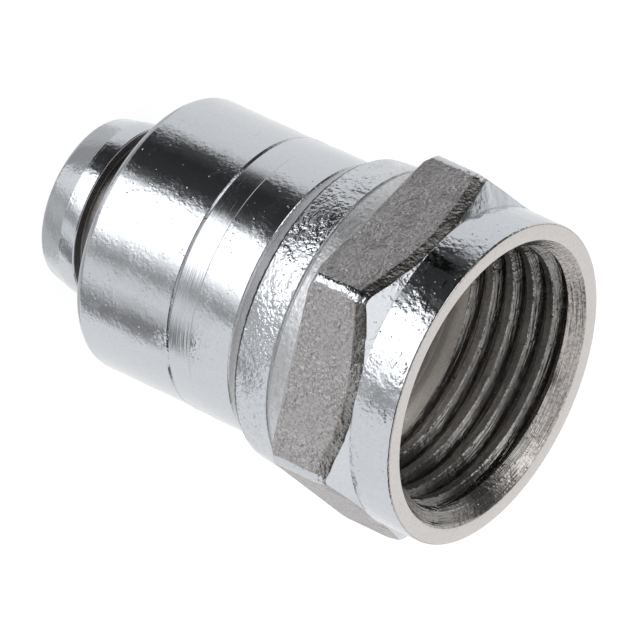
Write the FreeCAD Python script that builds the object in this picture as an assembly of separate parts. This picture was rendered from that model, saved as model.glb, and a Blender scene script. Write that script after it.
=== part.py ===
import FreeCAD, Part
import math
import os

# F plug for thin coaxial cable, closed on the cable by a ring that is pressed in from behind.
# The axis is Z. The rear end of the ring stands on z = 0 and the mouth of the nut looks up.
# All sizes are millimetres, and r is a radius.

# Cable that goes in
jacket_d = 4.2
dielectric_d = 2.6

# Clearances and gaps
cable_clearance = 0.1
bush_clearance = 0.05
ring_clearance = 0.03
nut_end_clearance = 0.05
nut_side_play = 0.3
flange_clearance = 0.25
stop_gap = 0.03
seat_gap = 0.01

# Compression ring
ring_travel = 1.23
ring_head_length = 1.6
ring_head_rear_r = 2.75
ring_head_front_r = 3.05
ring_rear_break = 0.15
ring_head_break = 0.05
ring_neck_r = 2.68
ring_neck_depth = 1.9
ring_lead_in = 0.1
ring_flare = 0.12
ring_flare_length = 0.35

# Rear sleeve
sleeve_r = 4.68
sleeve_length = 3.84
sleeve_rear_wall = 1.0
sleeve_rear_round = 0.35
sleeve_front_break = 0.1
sleeve_front_break_length = 0.17

# Front body
turned_band_r = 4.7
turned_band_length = 0.85
front_r = 4.72
front_length = 1.63
front_edge_break = 0.08
front_wall = 1.2
spigot_length = 1.5
spigot_wall = 0.65
seam_break = 0.05

# Gripping bush
bush_wall = 0.6
bush_r = 3.2
bush_nose_r = 3.0
bush_nose_length = 0.8

# Post
post_tube_wall = 0.4
post_tube_length = 2.75
post_barb_height = 0.15
post_barb_length = 0.7
post_press_r = 2.9
post_neck_r = 3.1
post_flange_thickness = 0.9
post_edge_break = 0.08

# Coupling nut, with its round walls measured from the core hole of the thread
nut_wall = 0.85
nut_rear_step = 0.04
nut_rear_cone_length = 0.56
collar_rear_wall = 0.78
collar_front_wall = 0.92
collar_length = 1.3
bevel_front_wall = 1.06
bevel_length = 0.82
hex_across_flats = 11.0
hex_ridge_length = 2.12
hex_ridge_round = 0.4
hex_rear_break = 0.2
hex_chamfer_angle = 30.0
skirt_wall = 1.07
skirt_length = 1.55
rim_break = 0.08

# Thread in the nut, 3/8 inch by 32 to the inch: its core hole, its groove, and the relief behind it
thread_core_d = 8.78
thread_depth = 0.37
thread_pitch = 0.79375
thread_flank_angle = 30.0
thread_start_angle = 209.0
thread_overcut = 0.1
thread_length = 4.2
relief_depth = 0.41
relief_length = 0.6
mouth_countersink = 0.51

# Radii that follow
cable_r = jacket_d / 2 + cable_clearance
post_bore_r = dielectric_d / 2 + cable_clearance
post_tube_r = post_bore_r + post_tube_wall
post_barb_r = post_tube_r + post_barb_height
cavity_r = bush_r + bush_clearance
spigot_r = cavity_r + spigot_wall
nut_hole_r = post_neck_r + nut_side_play
core_r = thread_core_d / 2
relief_r = core_r + relief_depth
nut_rear_r = front_r + nut_rear_step
collar_rear_r = core_r + collar_rear_wall
collar_front_r = core_r + collar_front_wall
bevel_front_r = core_r + bevel_front_wall
skirt_r = core_r + skirt_wall
post_flange_r = core_r - flange_clearance
hex_flat_r = hex_across_flats / 2
hex_sharp_r = hex_flat_r / math.cos(math.radians(30))
hex_ridge_r = hex_sharp_r - hex_ridge_round * (1 / math.cos(math.radians(30)) - 1)
chamfer_rise = math.tan(math.radians(hex_chamfer_angle))

# Heights from the rear end to the mouth
ring_shoulder_z = ring_head_length
sleeve_rear_z = ring_shoulder_z + ring_travel + stop_gap
ring_front_z = sleeve_rear_z + ring_neck_depth
seam_z = sleeve_rear_z + sleeve_length
spigot_rear_z = seam_z - spigot_length
band_front_z = seam_z + turned_band_length
body_front_z = band_front_z + front_length
cavity_front_z = body_front_z - front_wall
bush_rear_z = ring_front_z + seat_gap
bush_front_z = cavity_front_z - stop_gap - ring_travel
post_rear_z = cavity_front_z - post_tube_length
nut_rear_z = body_front_z + nut_end_clearance
nut_floor_z = nut_rear_z + nut_wall
flange_rear_z = nut_floor_z + nut_end_clearance
flange_front_z = flange_rear_z + post_flange_thickness
collar_rear_z = nut_rear_z + nut_rear_cone_length
collar_front_z = collar_rear_z + collar_length
hex_rear_z = collar_front_z + bevel_length
ridge_front_z = hex_rear_z + hex_ridge_length
skirt_rear_z = ridge_front_z + (hex_ridge_r - skirt_r) * chamfer_rise
rim_z = skirt_rear_z + skirt_length
thread_rear_z = rim_z - thread_length


def turned(outline):
    """Solid turned about Z from the corners of its half section, as (radius, height)."""
    corners = [FreeCAD.Vector(radius, 0, height) for radius, height in outline]
    section = Part.Face(Part.makePolygon(corners + corners[:1]))
    return section.revolve(FreeCAD.Vector(0, 0, 0), FreeCAD.Vector(0, 0, 1), 360)


def compression_ring():
    """Conical head that the tool pushes on, and a plain neck that slides into the sleeve."""
    return turned([
        (cable_r + ring_lead_in, 0),
        (ring_head_rear_r - ring_rear_break, 0),
        (ring_head_rear_r, ring_rear_break),
        (ring_head_front_r, ring_shoulder_z - ring_head_break),
        (ring_head_front_r - ring_head_break, ring_shoulder_z),
        (ring_neck_r, ring_shoulder_z),
        (ring_neck_r, ring_front_z),
        (cable_r + ring_flare, ring_front_z),
        (cable_r, ring_front_z - ring_flare_length),
        (cable_r, ring_lead_in),
    ])


def rear_sleeve():
    """Outer sleeve: a rounded rear wall round the ring's neck, and a socket for the front body."""
    hole_r = ring_neck_r + ring_clearance
    socket_r = spigot_r + seat_gap
    sleeve = turned([
        (hole_r, sleeve_rear_z),
        (sleeve_r, sleeve_rear_z),
        (sleeve_r, seam_z - sleeve_front_break_length),
        (sleeve_r - sleeve_front_break, seam_z),
        (socket_r, seam_z),
        (socket_r, spigot_rear_z - seat_gap),
        (cavity_r, spigot_rear_z - seat_gap),
        (cavity_r, sleeve_rear_z + sleeve_rear_wall),
        (hole_r, sleeve_rear_z + sleeve_rear_wall),
    ])
    outer_edge = [edge for edge in sleeve.Edges if edge.BoundBox.ZMax < sleeve_rear_z + stop_gap
                  and edge.BoundBox.XMax > hole_r + stop_gap and isinstance(edge.Curve, Part.Circle)]
    return sleeve.makeFillet(sleeve_rear_round, outer_edge)


def front_body():
    """Front half of the body, with the spigot, the closing cone and the wall that holds the post."""
    hole_r = post_press_r + seat_gap
    cone_rear_z = cavity_front_z - stop_gap - bush_nose_length
    return turned([
        (cavity_r, spigot_rear_z),
        (spigot_r, spigot_rear_z),
        (spigot_r, seam_z + seat_gap),
        (turned_band_r - seam_break, seam_z + seat_gap),
        (turned_band_r, seam_z + seat_gap + seam_break),
        (turned_band_r, band_front_z),
        (front_r, band_front_z),
        (front_r, body_front_z - front_edge_break),
        (front_r - front_edge_break, body_front_z),
        (hole_r, body_front_z),
        (hole_r, cavity_front_z),
        (bush_nose_r + bush_clearance, cavity_front_z),
        (bush_nose_r + bush_clearance, cavity_front_z - stop_gap),
        (cavity_r, cone_rear_z),
    ])


def grip_bush():
    """Plastic bush that the ring pushes into the closing cone, to grip the cable jacket."""
    return turned([
        (bush_r - bush_wall, bush_rear_z),
        (bush_r, bush_rear_z),
        (bush_r, bush_front_z - bush_nose_length),
        (bush_nose_r, bush_front_z),
        (bush_r - bush_wall, bush_front_z),
    ])


def post():
    """Inner tube: a barbed tail under the braid, a press seat, a neck and the contact flange."""
    return turned([
        (post_bore_r, post_rear_z),
        (post_tube_r, post_rear_z),
        (post_barb_r, post_rear_z + post_barb_length),
        (post_tube_r, post_rear_z + post_barb_length),
        (post_tube_r, cavity_front_z),
        (post_press_r, cavity_front_z),
        (post_press_r, body_front_z + seat_gap),
        (post_neck_r, body_front_z + seat_gap),
        (post_neck_r, flange_rear_z),
        (post_flange_r, flange_rear_z),
        (post_flange_r, flange_front_z - post_edge_break),
        (post_flange_r - post_edge_break, flange_front_z),
        (post_bore_r + post_edge_break, flange_front_z),
        (post_bore_r, flange_front_z - post_edge_break),
    ])


def hexagon_bar(bottom_z, top_z):
    """Hexagon bar with a ridge on -Y, its ridges rounded."""
    corners = []
    for step in range(7):
        angle = math.radians(60 * step - 90)
        corners.append(FreeCAD.Vector(hex_sharp_r * math.cos(angle), hex_sharp_r * math.sin(angle), bottom_z))
    bar = Part.Face(Part.makePolygon(corners)).extrude(FreeCAD.Vector(0, 0, top_z - bottom_z))
    ridges = [edge for edge in bar.Edges if edge.BoundBox.ZLength > (top_z - bottom_z) / 2]
    return bar.makeFillet(hex_ridge_round, ridges)


def thread_turn(start_z, share):
    """One turn, or a share of it, of the right-hand thread's groove, swept along its helix."""
    root_half = thread_pitch / 16
    inner_half = root_half + (thread_depth + thread_overcut) * math.tan(math.radians(thread_flank_angle))
    inner_r = core_r - thread_overcut
    root_r = core_r + thread_depth
    corners = [
        FreeCAD.Vector(inner_r, 0, -inner_half),
        FreeCAD.Vector(root_r, 0, -root_half),
        FreeCAD.Vector(root_r, 0, root_half),
        FreeCAD.Vector(inner_r, 0, inner_half),
    ]
    profile = Part.makePolygon(corners + corners[:1])
    helix = Part.Wire(Part.makeHelix(thread_pitch, share * thread_pitch, core_r))
    groove = helix.makePipeShell([profile], True, True)
    groove.rotate(FreeCAD.Vector(0, 0, 0), FreeCAD.Vector(0, 0, 1), thread_start_angle)
    groove.translate(FreeCAD.Vector(0, 0, start_z))
    return groove


def coupling_nut():
    """Nut turned from hexagon bar: a round collar behind, corners turned down to a round skirt."""
    chamfer_z = skirt_rear_z - (hex_sharp_r - skirt_r) * chamfer_rise
    outside = turned([
        (0, nut_rear_z),
        (nut_rear_r, nut_rear_z),
        (collar_rear_r, collar_rear_z),
        (collar_front_r, collar_front_z),
        (bevel_front_r, hex_rear_z),
        (hex_ridge_r - hex_rear_break, hex_rear_z),
        (hex_sharp_r, hex_rear_z + hex_rear_break + hex_sharp_r - hex_ridge_r),
        (hex_sharp_r, chamfer_z),
        (skirt_r, skirt_rear_z),
        (skirt_r, rim_z - rim_break),
        (skirt_r - rim_break, rim_z),
        (0, rim_z),
    ])
    inside = turned([
        (0, nut_rear_z),
        (nut_hole_r, nut_rear_z),
        (nut_hole_r, nut_floor_z),
        (core_r, nut_floor_z),
        (core_r, thread_rear_z - relief_length),
        (relief_r, thread_rear_z - relief_length),
        (relief_r, thread_rear_z),
        (core_r, thread_rear_z),
        (core_r, rim_z - mouth_countersink),
        (core_r + mouth_countersink, rim_z),
        (0, rim_z),
    ])
    nut = hexagon_bar(nut_rear_z, rim_z).common(outside).cut(inside)
    groove_rear_z = thread_rear_z - relief_length / 2
    turns = (rim_z - groove_rear_z) / thread_pitch
    for turn in range(math.ceil(turns)):
        nut = nut.cut(thread_turn(groove_rear_z + turn * thread_pitch, min(1, turns - turn)))
    return nut


pieces = {
    "compression_ring": compression_ring(),
    "rear_sleeve": rear_sleeve(),
    "grip_bush": grip_bush(),
    "front_body": front_body(),
    "post": post(),
    "coupling_nut": coupling_nut(),
}

os.makedirs("parts", exist_ok=True)
for name, solid in pieces.items():
    solid.exportStep("parts/" + name + ".step")
    print(name, "valid", solid.isValid(), "solids", len(solid.Solids), "volume", round(solid.Volume, 2))
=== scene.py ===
import math

import bmesh
import bpy
from mathutils import Matrix, Vector, noise


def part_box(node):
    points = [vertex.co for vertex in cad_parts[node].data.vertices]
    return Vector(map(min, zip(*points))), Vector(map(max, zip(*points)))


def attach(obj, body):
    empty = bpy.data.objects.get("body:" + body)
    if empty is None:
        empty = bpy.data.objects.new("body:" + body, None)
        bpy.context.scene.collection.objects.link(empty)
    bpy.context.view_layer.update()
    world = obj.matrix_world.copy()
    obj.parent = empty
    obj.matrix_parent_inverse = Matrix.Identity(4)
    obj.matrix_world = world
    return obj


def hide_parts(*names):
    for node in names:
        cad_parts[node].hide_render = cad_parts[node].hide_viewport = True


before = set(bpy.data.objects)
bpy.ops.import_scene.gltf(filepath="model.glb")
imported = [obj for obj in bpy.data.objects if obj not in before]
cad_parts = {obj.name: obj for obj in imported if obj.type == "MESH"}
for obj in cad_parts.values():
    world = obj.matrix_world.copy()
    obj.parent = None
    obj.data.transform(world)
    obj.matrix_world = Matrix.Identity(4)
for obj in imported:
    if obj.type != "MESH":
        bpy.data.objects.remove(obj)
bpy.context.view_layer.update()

mm = 0.001
camera_distance = 0.4
camera_elevation = math.radians(28.95)
camera_azimuth = math.radians(6.5)
axis_slope = math.radians(25.02)
sensor_width = 36
picture_pixels = 640
pixels_per_mm = 31.5
aimed_height = 8.0 * mm
centre_right_of_axis = 0.919 * mm
centre_below_axis = 0.945 * mm

towards_camera = Vector((
    math.sin(camera_azimuth) * math.cos(camera_elevation),
    -math.cos(camera_azimuth) * math.cos(camera_elevation),
    math.sin(camera_elevation),
))
level = Vector((math.cos(camera_azimuth), math.sin(camera_azimuth), 0))
along_axis = towards_camera.cross(level)
picture_right = math.cos(axis_slope) * along_axis - math.sin(axis_slope) * level
picture_up = -math.sin(axis_slope) * along_axis - math.cos(axis_slope) * level
aim = Vector((0, 0, aimed_height)) + centre_right_of_axis * picture_right - centre_below_axis * picture_up

camera = bpy.data.objects.new("camera", bpy.data.cameras.new("camera"))
bpy.context.scene.collection.objects.link(camera)
camera.data.sensor_width = sensor_width
camera.data.lens = sensor_width * pixels_per_mm / mm * camera_distance / picture_pixels
turn = Matrix((picture_right, picture_up, towards_camera)).transposed()
camera.matrix_world = Matrix.Translation(aim + camera_distance * towards_camera) @ turn.to_4x4()
bpy.context.scene.camera = camera
bpy.context.scene.view_settings.view_transform = "Standard"


# Studio: a pale floor and a white room. The plating mirrors a pale surround, with a bright panel round the
# camera, a black flag above it in the picture and grey panels below it. Their bearings are in degrees about
# the plug's axis, from the camera towards the top of the picture.
class Wire:
    """A socket in a node tree. Sums, differences and products of wires and numbers add Math nodes."""

    def __init__(self, tree, socket=None):
        self.tree, self.socket = tree, socket

    def add(self, kind, settings, sockets, output=0):
        """A new node: its settings first, then the values or links of its sockets. Gives one output of it."""
        node = self.tree.nodes.new("ShaderNode" + kind)
        for name, value in settings.items():
            if name == "stops":
                for _ in value[2:]:
                    node.color_ramp.elements.new(0)
                for stop, (place, grey) in zip(node.color_ramp.elements, value):
                    stop.position, stop.color = place, (grey, grey, grey, 1)
            else:
                setattr(node, name, value)
        for name, value in sockets.items():
            if isinstance(value, Wire):
                self.tree.links.new(value.socket, node.inputs[name])
            else:
                node.inputs[name].default_value = value
        return Wire(self.tree, node.outputs[output] if node.outputs else None)

    def out(self, name):
        """Another output of the same node."""
        return Wire(self.tree, self.socket.node.outputs[name])

    def math(self, operation, first, second=0.0):
        """The result of a Math node on one or two values."""
        return self.add("Math", {"operation": operation}, {0: first, 1: second})

    def __add__(self, other):
        return self.math("ADD", self, other)

    def __sub__(self, other):
        return self.math("SUBTRACT", self, other)

    def __rsub__(self, other):
        return self.math("SUBTRACT", other, self)

    def __mul__(self, other):
        return self.math("MULTIPLY", self, other)

    def __truediv__(self, other):
        return self.math("DIVIDE", self, other)

    __radd__ = __add__
    __rmul__ = __mul__

    def step(self, low, high):
        """A smooth step from 0 where the wire is low to 1 where it is high."""
        return self.add("MapRange", {"interpolation_type": "SMOOTHSTEP"}, {0: self, 1: low, 2: high})


def node_tree(owner):
    """The emptied node tree of a material or world."""
    owner.use_nodes = True
    owner.node_tree.nodes.clear()
    return Wire(owner.node_tree)


room_white = 1.0
zenith_level = 1.3
gloom_depth = 0.93
underneath_share, underneath_level = 0.25, 0.42
panel_slant = 0.07
panel_scale = 2.6
panel_levels = [
    (-180, 1.0), (-98, 1.0), (-91, 0.45), (-84, 0.3), (-77, 0.34), (-68, 0.72), (-58, 0.96), (-48, 0.88),
    (-37, 0.42), (-28, 0.78), (-20, 1.5), (-14, 2.4), (20, 2.5), (26, 0.9), (32, 0.14), (40, 0.05),
    (60, 0.035), (72, 0.09), (79, 0.6), (86, 0.9), (110, 0.95), (180, 1.0),
]
ceiling_levels = [
    (-180, 1.0), (-120, 1.1), (-60, 1.0), (-20, 0.6), (30, 0.65), (45, 2.0), (70, 2.0), (82, 0.2),
    (118, 0.1), (134, 0.7), (180, 1.0),
]

world = bpy.data.worlds.new("studio")
bpy.context.scene.world = world
room = node_tree(world)


def all_round_levels(share, levels):
    """The level at a share of the full turn, from pairs of a bearing in degrees and the level there."""
    stops = [(0.5 + angle / 360, amount / panel_scale) for angle, amount in levels]
    return room.add("ValToRGB", {"stops": stops}, {0: share}) * panel_scale


to_mirror = room.add("LightPath", {}, {}, "Is Glossy Ray")
direction = room.add("TexCoord", {}, {}, "Generated")
up_part = room.add("SeparateXYZ", {}, {0: direction}, "Z")
dot = {"operation": "DOT_PRODUCT"}
level_to_camera = level.cross((0, 0, 1))
to_camera = room.add("VectorMath", dot, {0: direction, 1: level_to_camera}, "Value")
to_top = room.add("VectorMath", dot, {0: direction, 1: -level}, "Value")
bearing = room.math("ARCTAN2", to_top, to_camera) / math.tau + 0.5
off_camera = room.math("ABSOLUTE", bearing - 0.5)

# Plating that looks up mirrors the ceiling, and plating that looks down a grey floor. Between the panels and
# the ceiling, the camera's side of the room is dark.
panels = all_round_levels(bearing + (up_part + math.sin(camera_elevation)) * panel_slant, panel_levels)
ceiling = all_round_levels(bearing, ceiling_levels)
ceiling = ceiling + up_part.step(0.9, 0.98) * (zenith_level - ceiling)
overhead = up_part.step(0.3, 0.6)
underneath = (0 - up_part).step(0.665, 0.725)
gloom = up_part.step(-0.3, -0.12) * (1 - up_part.step(0.45, 0.7)) * (1 - off_camera.step(0.26, 0.36))
mirrored = panels * (1 - overhead) * (1 - underneath) + overhead * ceiling
mirrored = mirrored + underneath * (panels * underneath_share + underneath_level)
mirrored = mirrored * (1 - gloom_depth * gloom)
seen = mirrored * to_mirror + room_white * (1 - to_mirror)
background = room.add("Background", {}, {"Color": (1, 1, 1, 1), "Strength": seen})
room.add("OutputWorld", {}, {"Surface": background})


def sheet(name, corners):
    """A plain sheet for the stage, through four corners."""
    mesh = bpy.data.meshes.new(name)
    mesh.from_pydata(corners, [], [(0, 1, 2, 3)])
    stage_piece = bpy.data.objects.new(name, mesh)
    bpy.context.scene.collection.objects.link(stage_piece)
    return stage_piece


floor_size = 3.0
floor_white = 0.8
floor_glow = 1.1
floor_glow_share = 0.8
half = floor_size / 2
floor = sheet("floor", [(-half, -half, 0), (half, -half, 0), (half, half, 0), (-half, half, 0)])
floor_paint = bpy.data.materials.new("floor_paint")
paint = node_tree(floor_paint)
to_eye = paint.add("LightPath", {}, {}, "Is Camera Ray")
matt = paint.add("BsdfDiffuse", {}, {"Color": (floor_white, floor_white, floor_white, 1)})
glow = paint.add("Emission", {}, {"Strength": floor_glow})
mixed = paint.add("MixShader", {}, {0: to_eye * floor_glow_share, 1: matt, 2: glow})
paint.add("OutputMaterial", {}, {"Surface": mixed})
floor.data.materials.append(floor_paint)
floor.visible_glossy = False

# A white card stands close beside the plug. Only the plating sees it: it hides the grey panel behind it from
# the nut and from the front of the body.
card_glow = 1.0
card_away = 20 * mm
card_low, card_high = -2.6 * mm, 14 * mm
card_near, card_far = 17 * mm, -4 * mm
card_bearing = math.radians(-83)


def level_at(angle):
    """The level direction at a bearing."""
    return math.cos(angle) * level_to_camera - math.sin(angle) * level


away, along = level_at(card_bearing), level_at(card_bearing + math.pi / 2)
places = [(card_far, card_low), (card_near, card_low), (card_near, card_high), (card_far, card_high)]
card = sheet("white_card", [away * card_away + along * side + Vector((0, 0, z)) for side, z in places])
card_paint = bpy.data.materials.new("card_paint")
white = node_tree(card_paint)
white.add("OutputMaterial", {}, {"Surface": white.add("Emission", {}, {"Strength": card_glow})})
card.data.materials.append(card_paint)
card.visible_camera = card.visible_diffuse = card.visible_shadow = False

# One broad lamp, in front of the plug and above it, gives the floor its soft shadow.
lamp_size = 0.5
lamp_watts = 3.5
lamp_place = Vector((0.05, -0.5, 0.5))
lamp = bpy.data.objects.new("lamp", bpy.data.lights.new("lamp", "AREA"))
lamp.data.size = lamp_size
lamp.data.energy = lamp_watts
lamp.location = lamp_place
lamp.rotation_euler = lamp_place.to_track_quat("Z", "Y").to_euler()
lamp.visible_glossy = False
bpy.context.scene.collection.objects.link(lamp)

# Compression ring, turned from brass and nickel plated. Its conical head stands out behind the body, and its
# neck slides into the rear sleeve when the tool presses it home.
arc_points = 5
no_length = 1e-6


def rounded(corners):
    """Half section through (radius, height, rounding) corners in mm, each corner as an arc of that radius."""
    points = []
    for index, (r, z, rounding) in enumerate(corners):
        corner = Vector((r, z))
        back = Vector(corners[index - 1][:2]) - corner
        ahead = Vector(corners[(index + 1) % len(corners)][:2]) - corner
        if rounding == 0:
            points.append(corner)
            continue
        if min(back.length, ahead.length) < no_length:
            points += [corner] * arc_points
            continue
        half_angle = back.angle(ahead) / 2
        reach = min(rounding / math.tan(half_angle), back.length / 2, ahead.length / 2)
        start = corner + back.normalized() * reach
        end = corner + ahead.normalized() * reach
        centre = corner + (back.normalized() + ahead.normalized()).normalized() * reach / math.cos(half_angle)
        for step in range(arc_points):
            spoke = (start - centre).normalized().slerp((end - centre).normalized(), step / (arc_points - 1))
            points.append(centre + spoke * (start - centre).length)
    return points


weld_distance = 0.0002 * mm
sharp_angle = math.radians(35)


def ring_mesh(name, angles, section):
    """Closed ring-shaped mesh in metres. Section gives the half section at an angle, as points in mm."""
    rows = []
    shape = bmesh.new()
    for angle in angles + [math.tau]:
        place = Matrix.Rotation(angle, 3, "Z") * mm
        rows.append([shape.verts.new(place @ Vector((r, 0, z))) for r, z in section(angle)])
    for here, beside in zip(rows, rows[1:]):
        for row in range(len(here)):
            shape.faces.new((here[row - 1], beside[row - 1], beside[row], here[row]))
    bmesh.ops.remove_doubles(shape, verts=shape.verts, dist=weld_distance)
    mesh = bpy.data.meshes.new(name)
    shape.to_mesh(mesh)
    mesh.shade_smooth()
    mesh.set_sharp_from_angle(angle=sharp_angle)
    piece = bpy.data.objects.new(name, mesh)
    bpy.context.scene.collection.objects.link(piece)
    normals = piece.modifiers.new("faces_stay_flat", "WEIGHTED_NORMAL")
    normals.weight = 100
    normals.keep_sharp = True
    return piece


round_steps = 192
all_round = [math.tau * step / round_steps for step in range(round_steps)]

waves_per_mm = 2.2
clouds_per_mm = 1.1
marks_per_mm, mark_wander = 18, 0.6
knobs_per_mm, knob_reach = 6, 0.22
flecks_per_pit = 1.7
uneven_roughness = 0.08
# Tone and wander of a ragged dark line round a piece.
dark_line_tone = (0.05, 0.04, 0.035)
dark_line_wander = 0.15


def plating(name, tone, roughness, ripple, pits, marks, grain=9, sparkle=0, fleck=0.93, dark_line_at=None):
    """Nickel plating. Ripple, pits, marks and sparkle are heights in mm of soft waves, pits, turning marks
    and tiny knobs. Grain is the number of pits in 1 mm, fleck the share of the tone that dark flecks keep,
    and the last argument the height of a ragged dark line round the piece."""
    material = bpy.data.materials.new(name)
    metal = node_tree(material)
    place = metal.add("TexCoord", {}, {}, "Object")
    place = metal.add("VectorMath", {"operation": "SCALE"}, {0: place, "Scale": 1 / mm})
    sideways = metal.add("VectorMath", {"operation": "MULTIPLY"}, {0: place, 1: (1, 1, 0)})
    out = metal.add("VectorMath", {"operation": "LENGTH"}, {0: sideways}, "Value")
    turned = metal.add("Mapping", {}, {"Vector": place, "Scale": (mark_wander, mark_wander, marks_per_mm)})
    waves = metal.add("TexNoise", {}, {"Vector": place, "Scale": waves_per_mm, "Detail": 2})
    spots = metal.add("TexNoise", {}, {"Vector": place, "Scale": grain, "Detail": 1.5})
    in_4d = {"noise_dimensions": "4D"}
    lines = metal.add("TexNoise", in_4d, {"Vector": turned, "W": out * marks_per_mm, "Scale": 1})
    cloud = metal.add("TexNoise", {}, {"Vector": place, "Scale": clouds_per_mm, "Detail": 4})
    pitted = cloud.step(0.42, 0.58) * 0.9 + 0.4
    height = waves * (ripple * mm) + spots * pitted * (pits * mm) + lines * (marks * mm)
    if sparkle:
        cells = metal.add("TexVoronoi", {}, {"Vector": place, "Scale": knobs_per_mm}, "Distance")
        chosen = metal.add("SeparateXYZ", {}, {0: cells.out("Color")}, "X").step(0.5, 0.55)
        knobs = (1 - cells.step(0, knob_reach)) * chosen * waves.step(0.4, 0.6)
        height = height + knobs * (sparkle * mm)
    normal = metal.add("Bump", {}, {"Strength": 1, "Distance": 1, "Height": height})
    finer = {"Vector": place, "Scale": flecks_per_pit * grain, "Detail": 3, "Roughness": 0.6}
    flecks = metal.add("TexNoise", {}, finer)
    clean = cloud.step(0.3, 0.7) * 0.3 + flecks.step(0.38, 0.56) * 0.7
    darker = tuple(fleck * part for part in tone)
    mottled = metal.add("Mix", {"data_type": "RGBA"}, {0: clean, 6: (*darker, 1), 7: (*tone, 1)}, 2)
    # A ragged dark line of that tone round the piece at the given height.
    if dark_line_at:
        z = metal.add("SeparateXYZ", {}, {0: place}, "Z")
        off_line = metal.math("ABSOLUTE", z - dark_line_at + (spots - 0.5) * dark_line_wander).step(0.03, 0.08)
        mottled = metal.add("Mix", {"data_type": "RGBA"}, {0: off_line, 6: (*dark_line_tone, 1), 7: mottled}, 2)
    uneven = roughness + spots.step(0.4, 0.8) * uneven_roughness + cloud.step(0.5, 0.65) * uneven_roughness
    shine = metal.add("BsdfPrincipled", {}, {
        "Base Color": mottled, "Metallic": 1, "Roughness": uneven, "Normal": normal,
    })
    metal.add("OutputMaterial", {}, {"Surface": shine})
    return material


nickel = (0.595, 0.615, 0.645)
# Dark grey painted as shade on the ring's shoulder and neck.
neck_painted_shade_grey = (0.25, 0.235, 0.225)
ring_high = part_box("compression_ring")[1]
head_front = 1.6
head_front_r = ring_high.x / mm
head_rear_r = 2.75
head_bend_r, head_bend = head_front_r - 0.07, 0.95
neck_r, neck_front = 2.68, ring_high.z / mm
ring_hole_r = 2.2
entry_break = 0.1
funnel_r, funnel_rear = ring_hole_r + 0.12, neck_front - 0.35
ring_section = rounded([
    (ring_hole_r, entry_break, 0), (ring_hole_r + entry_break, 0, 0.03), (head_rear_r, 0, 0.2),
    (head_bend_r, head_bend, 0.3), (head_front_r, head_front, 0.06), (neck_r, head_front, 0.05),
    (neck_r, neck_front, 0.03), (funnel_r, neck_front, 0.02), (ring_hole_r, funnel_rear, 0.05),
])
ring = ring_mesh("pressed_ring", all_round, lambda angle: ring_section)
ring.data.materials.append(plating(
    "ring_nickel", nickel, roughness=0.1, ripple=0.014, pits=0.006, marks=0.004))
# The shoulder and neck behind the ring's head are painted dark grey: painted shade in the gap between the
# head and the sleeve.
ring.data.materials.append(plating(
    "neck_nickel_painted_shade", neck_painted_shade_grey, roughness=0.4, ripple=0.002, pits=0.002, marks=0.002, fleck=0.85))
for face in ring.data.polygons:
    if face.center.z > (head_front - 0.01) * mm:
        face.material_index = 1
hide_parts("compression_ring")
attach(ring, "ring")

# Grip bush, a ring of plain moulded plastic inside the front body. The compression ring pushes it into the
# body's cone, where it closes on the cable's jacket. The ring hides it from behind.
bush_tone = (0.72, 0.7, 0.65)
bush_roughness = 0.5
bush_grains_per_mm, bush_grain_height = 9, 0.002 * mm
bush_plastic = bpy.data.materials.new("bush_plastic")
plastic = node_tree(bush_plastic)
place = plastic.add("TexCoord", {}, {}, "Object")
grains = plastic.add("TexNoise", {}, {"Vector": place, "Scale": bush_grains_per_mm / mm})
bumps = plastic.add("Bump", {}, {"Strength": 1, "Distance": 1, "Height": grains * bush_grain_height})
moulded = plastic.add("BsdfPrincipled", {}, {
    "Base Color": (*bush_tone, 1), "Roughness": bush_roughness, "Normal": bumps,
})
plastic.add("OutputMaterial", {}, {"Surface": moulded})


def finish_node(node, material):
    """Gives a CAD node its material."""
    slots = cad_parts[node].material_slots
    slots[0].material = material


finish_node("grip_bush", bush_plastic)

# Rear sleeve, turned from brass and bright nickel plated, with a well rounded rear edge. It is pressed over
# the spigot of the front body, and the compression ring's neck slides in its rear hole.
sleeve_low, sleeve_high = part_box("rear_sleeve")
sleeve_r = sleeve_high.x / mm
sleeve_rear, seam = sleeve_low.z / mm, sleeve_high.z / mm
rear_rounding = 0.35
seam_break_r, seam_break = sleeve_r - 0.07, seam - 0.1
ring_guide_r, ring_guide_front = 2.71, sleeve_rear + 1
cavity_r = 3.25
socket_r, socket_floor = 3.91, seam - 1.51
sleeve_section = rounded([
    (ring_guide_r, sleeve_rear, 0.05), (sleeve_r, sleeve_rear, rear_rounding), (sleeve_r, seam_break, 0.03),
    (seam_break_r, seam, 0.01), (socket_r, seam, 0), (socket_r, socket_floor, 0), (cavity_r, socket_floor, 0),
    (cavity_r, ring_guide_front, 0), (ring_guide_r, ring_guide_front, 0),
])
sleeve = ring_mesh("sleeve", all_round, lambda angle: sleeve_section)
body_nickel = plating(
    "body_nickel", nickel, roughness=0.07, ripple=0.0015, pits=0.006, marks=0.0004, grain=8, sparkle=0.01)
sleeve.data.materials.append(body_nickel)
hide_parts("rear_sleeve")
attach(sleeve, "plug_body")

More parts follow.
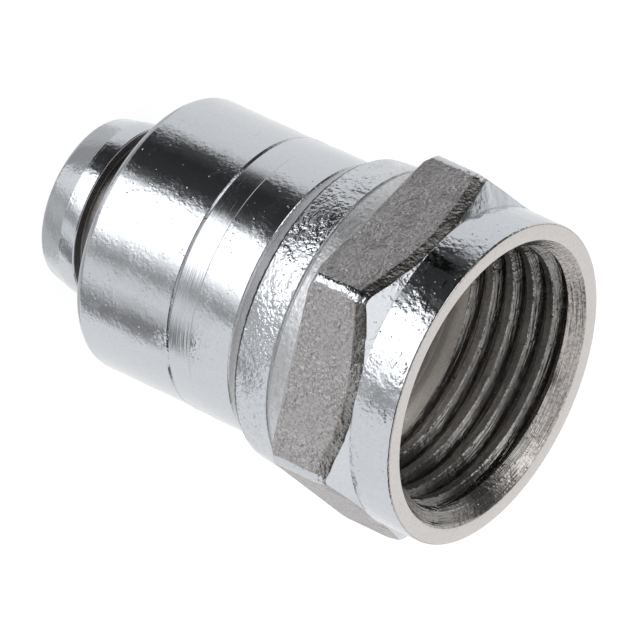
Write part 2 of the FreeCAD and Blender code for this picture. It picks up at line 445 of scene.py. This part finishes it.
# Front body, turned and plated like the sleeve. A band beside the seam was turned once more and keeps its
# turning marks. The spigot behind it sits in the sleeve, and the hole in its front end holds the post.
front_low, front_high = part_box("front_body")
front_rear, front_end = front_low.z / mm, front_high.z / mm
front_r = front_high.x / mm
spigot_r = 3.9
seam_gap = 0.01
band_r = front_r - 0.02
band_rear, band_front = seam + 0.04, seam + 0.85
front_break = 0.08
post_seat_r, post_seat_rear = 2.91, front_end - 1.2
cone_r, cone_front, cone_rear = 3.05, front_end - 1.23, front_end - 2.03
front_section = rounded([
    (cavity_r, front_rear, 0), (spigot_r, front_rear, 0), (spigot_r, seam + seam_gap, 0),
    (band_r - 0.04, seam + seam_gap, 0.01), (band_r, band_rear, 0.02), (band_r, band_front, 0.01),
    (front_r, band_front + 0.04, 0.02), (front_r, front_end - front_break, 0.03),
    (front_r - front_break, front_end, 0.03), (post_seat_r, front_end, 0), (post_seat_r, post_seat_rear, 0),
    (cone_r, post_seat_rear, 0), (cone_r, cone_front, 0), (cavity_r, cone_rear, 0),
])
front = ring_mesh("front_half", all_round, lambda angle: front_section)
front.data.materials.append(body_nickel)
front.data.materials.append(plating(
    "turned_nickel", nickel, roughness=0.1, ripple=0.0015, pits=0.0012, marks=0.008))
for face in front.data.polygons:
    if math.hypot(face.center.x, face.center.y) > (spigot_r + 0.1) * mm and face.center.z < band_front * mm:
        face.material_index = 1
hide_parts("front_body")
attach(front, "plug_body")

# Post, the inner tube, turned from brass with a satin plating and pressed into the front body. Its flange
# closes the mouth of the nut, and its barbed tail goes under the cable's braid.
# Its tone is lifted well above the body's nickel as painted light, for the deep mouth of the nut where little
# light reaches.
post_nickel_painted_light = plating(
    "post_nickel_painted_light", (0.75, 0.72, 0.69), roughness=0.5, ripple=0.002, pits=0.001, marks=0.004, fleck=0.88)
finish_node("post", post_nickel_painted_light)

# Coupling nut, turned from hexagon bar, thinly plated and left pebbled on its flats. It hangs on the post and
# turns freely, and its right-hand thread is 3/8 inch by 32 to the inch.
nut_low, nut_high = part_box("coupling_nut")
nut_rear, rim = nut_low.z / mm, nut_high.z / mm
flat_r = nut_high.x / mm
half_side_angle = math.radians(30)
ridge_round = 0.4
ridge_centre_r = (flat_r - ridge_round) / math.cos(half_side_angle)
ridge_r = ridge_centre_r + ridge_round
nut_rear_r, nut_hole_r = 4.76, 3.4
nut_floor = nut_rear + 0.85
collar_rear_r, collar_rear = 5.17, nut_rear + 0.56
collar_front_r, collar_front = 5.31, collar_rear + 1.3
collar_groove_r, collar_groove = collar_front_r - 0.05, collar_front + 0.06
cone_foot_r, cone_foot = collar_front_r + 0.03, collar_front + 0.16
bevel_r, hex_rear = 5.45, collar_front + 0.82
rear_break, smallest_break = 0.2, 0.05
chamfer_slope = math.tan(math.radians(30))
ragged_height, ragged_spare, ragged_grain = 0.05, 0.2, 16
roll_depth, roll_share, roll_length = 0.085, 0.85, 0.36
skirt_r, skirt_rear = 5.46, rim - 1.55
hair = 0.001

# The thread inside, 60 degrees in form. Its edges are phases of the pitch, 0 at the middle of the groove,
# and the start turn is the share of a turn at which the groove begins.
core_r = 4.39
countersink = 0.51
thread_rear, thread_front = rim - 4.2, rim - 0.05
relief_r, relief_rear = 4.8, thread_rear - 0.6
pitch = 25.4 / 32
thread_depth = 0.37
thread_start, start_turn = thread_rear - 0.3, 209 / 360
root_edge = 1 / 16
crest_edge = root_edge + thread_depth * math.tan(math.radians(30)) / pitch
edge_width = 0.022
groove_phases = [crest_edge + edge_width, crest_edge - edge_width, root_edge]
groove_phases += [-phase for phase in reversed(groove_phases)]


def bar_radius(angle):
    """Radius of the hexagon bar at an angle. A rounded ridge looks along -Y, and flats along +X and -X."""
    from_flat = abs((math.degrees(angle) + 30) % 60 - 30)
    from_ridge = math.radians(30 - from_flat)
    off_centre = ridge_centre_r * math.sin(from_ridge)
    flat = flat_r / math.cos(math.radians(from_flat))
    if abs(off_centre) > ridge_round / 2:
        return flat
    return ridge_centre_r * math.cos(from_ridge) + math.sqrt(ridge_round ** 2 - off_centre ** 2)


def thread_radius(phase):
    """Radius of the threaded hole at a phase of its pitch."""
    off_middle = abs((phase + 0.5) % 1 - 0.5)
    share = (crest_edge - off_middle) / (crest_edge - root_edge)
    return core_r + thread_depth * min(1, max(0, share))


def sink_radius(z):
    """Radius of the 45 degree countersink at a height."""
    return core_r + countersink - (rim - z)


def nut_section(angle):
    """Half section of the nut at an angle: outside from the rear to the rim, then down the thread."""
    bar_r = bar_radius(angle)
    spare = bar_r - skirt_r
    edge_break = max(smallest_break, bar_r - ridge_r + rear_break)
    waver = noise.noise(Vector((math.cos(angle), math.sin(angle), 0)) * ragged_grain)
    ragged = ragged_height * min(1, spare / ragged_spare) * waver
    roll = min(roll_depth, roll_share * spare)
    chamfer_z = skirt_rear - spare * chamfer_slope + ragged
    outside = rounded([
        (nut_hole_r, nut_floor, 0), (nut_hole_r, nut_rear, 0.05), (nut_rear_r, nut_rear, 0.05),
        (collar_rear_r, collar_rear, 0.06), (collar_front_r, collar_front, 0.03),
        (collar_groove_r, collar_groove, 0.03), (cone_foot_r, cone_foot, 0.05), (bevel_r, hex_rear, 0),
        (bar_r - edge_break + hair, hex_rear, 0), (bar_r, hex_rear + edge_break, 0.06),
        (bar_r, chamfer_z - roll_length, 0.5), (bar_r - 0.7 * roll, chamfer_z - 0.06, 0.2),
        (bar_r - roll, chamfer_z + roll * chamfer_slope, 0.04), (skirt_r, skirt_rear, 0),
        (skirt_r, rim, 0.07), (core_r + countersink, rim, 0.12), (core_r, rim - countersink, 0),
    ])
    turn = angle / math.tau - start_turn
    inside = []
    for lap in range(math.ceil((rim - thread_start) / pitch) + 1, -1, -1):
        for phase in groove_phases:
            z = thread_start + pitch * (lap + phase + turn)
            z = min(thread_front, max(thread_rear, z))
            r = thread_radius((z - thread_start) / pitch - turn)
            inside.append((max(r, sink_radius(z)), z))
    below = [(relief_r, thread_rear), (relief_r, relief_rear), (core_r, relief_rear), (core_r, nut_floor)]
    return outside[:-1] + inside + below


flat_steps, ridge_steps = 26, 10
flat_half_angle = math.atan((flat_r - ridge_round) * math.tan(half_side_angle) / flat_r)
nut_angles = []
for side in range(6):
    middle = math.radians(60 * side)
    for step in range(flat_steps):
        across = (2 * step / flat_steps - 1) * math.tan(flat_half_angle)
        nut_angles.append(middle + math.atan(across))
    for step in range(ridge_steps):
        bend = math.radians(60 * step / ridge_steps - 30)
        x = ridge_centre_r + ridge_round * math.cos(bend)
        nut_angles.append(middle + half_side_angle + math.atan2(ridge_round * math.sin(bend), x))
nut_angles = sorted(angle % math.tau for angle in nut_angles)
nut = ring_mesh("hexagon_nut", nut_angles, nut_section)

# What was turned is bright and the flats keep the dull skin of the bar. The thread's grooves and crests are
# darkened as painted shade inside the nut, the relief is lifted pale as painted light, and the rolled edges
# of the flats are darkened as a painted reflection of the dark room. The countersink is a darker, warmer grey
# than the land.
pale_grey, flat_grey, edge_painted_reflection_grey = (0.66, 0.67, 0.69), (0.59, 0.575, 0.575), (0.38, 0.37, 0.36)
# The thread's groove and crest greys are darkened as painted shade inside the nut; the relief grey is lifted
# as painted light.
groove_painted_shade_grey, crest_painted_shade_grey, relief_painted_light_grey = (0.28, 0.27, 0.26), (0.42, 0.41, 0.4), (0.9, 0.87, 0.84)
mouth_grey, land_grey = (0.49, 0.46, 0.44), (0.64, 0.61, 0.595)
nut_finishes_and_painted_light = {
    "skirt": plating(
        "skirt_nickel", nickel, roughness=0.09, ripple=0.003, pits=0.02, marks=0.0004, grain=6,
        sparkle=0.012),
    "collar": plating(
        "collar_nickel", nickel, roughness=0.14, ripple=0.008, pits=0.044, marks=0.0004, grain=7,
        sparkle=0.03),
    "bevel": plating(
        "bevel_nickel", pale_grey, roughness=0.36, ripple=0.008, pits=0.02, marks=0.0004, grain=7,
        sparkle=0.02, fleck=0.8, dark_line_at=collar_rear - 0.05),
    "flat": plating(
        "flat_nickel", flat_grey, roughness=0.5, ripple=0.01, pits=0.08, marks=0, grain=8,
        sparkle=0.05, fleck=0.62),
    # Dark grey painted as the reflection of the dark room on the rolled edges of the flats.
    "edge": plating(
        "edge_nickel_painted_reflection", edge_painted_reflection_grey, roughness=0.25, ripple=0.01, pits=0.035, marks=0, grain=9,
        sparkle=0.03, fleck=0.6),
    # Dark grey painted as shade in the thread's grooves.
    "groove": plating(
        "groove_nickel_painted_shade", groove_painted_shade_grey, roughness=0.16, ripple=0.002, pits=0.014, marks=0.03, grain=8,
        sparkle=0.03),
    # Darker grey painted as shade on the thread's crests and their edges.
    "crest": plating(
        "crest_nickel_painted_shade", crest_painted_shade_grey, roughness=0.3, ripple=0.002, pits=0.03, marks=0.02, grain=7,
        sparkle=0.04, fleck=0.6),
    "crest_edge": plating(
        "crest_edge_nickel_painted_shade", crest_painted_shade_grey, roughness=0.25, ripple=0.004, pits=0.06, marks=0.01, grain=7,
        sparkle=0.05, fleck=0.4),
    # Pale grey painted as light on the relief deep in the nut.
    "relief": plating(
        "relief_nickel_painted_light", relief_painted_light_grey, roughness=0.45, ripple=0.002, pits=0.01, marks=0.01, fleck=0.85),
    "mouth": plating(
        "mouth_nickel", mouth_grey, roughness=0.16, ripple=0.002, pits=0.016, marks=0.022, grain=6,
        sparkle=0.03, fleck=0.55),
    "land": plating(
        "land_nickel", land_grey, roughness=0.25, ripple=0.002, pits=0.004, marks=0.004, grain=6,
        sparkle=0.01, fleck=0.9),
}


def nut_finish_or_painted_light(face):
    """Name of the zone of a face of the nut, by its distance from the axis, its height and its tilt. The zone
    picks the plating, with painted shade and light in the thread, relief and rolled edges.
    """
    out, height = math.hypot(face.center.x, face.center.y) / mm, face.center.z / mm
    upward = face.normal.z
    # The relief takes the pale grey painted as light.
    if out < relief_r + hair and height < thread_rear:
        return "relief"
    # Thread faces take the greys darkened as painted shade.
    if sink_radius(height) + 0.01 < out < relief_r + hair:
        if out < core_r + 0.004:
            return "crest"
        return "crest_edge" if upward > 0.2 and out < core_r + 0.04 else "groove"
    if height > rim - countersink - 0.05 and out < skirt_r - 0.03:
        return "land" if upward > 0.95 else "mouth"
    if height < collar_rear or collar_front < height < hex_rear + rear_break and out < bevel_r + 0.2:
        return "collar" if height > hex_rear - 0.05 and upward < -0.1 else "bevel"
    if height < collar_front or out > ridge_r - 0.1 and height < skirt_rear - 0.5:
        return "collar"
    # Rolled faces between the flats and the chamfers take the dark grey painted as a reflection.
    if out > bevel_r + 0.02 and upward < 0.7:
        return "flat" if upward < 0.05 else "edge"
    return "skirt"


# Some nut materials are plain plating; the thread, relief and rolled edges carry painted shade and light.
for finish_or_painted_light in nut_finishes_and_painted_light.values():
    nut.data.materials.append(finish_or_painted_light)
for face in nut.data.polygons:
    face.material_index = list(nut_finishes_and_painted_light).index(nut_finish_or_painted_light(face))
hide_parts("coupling_nut")
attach(nut, "nut")
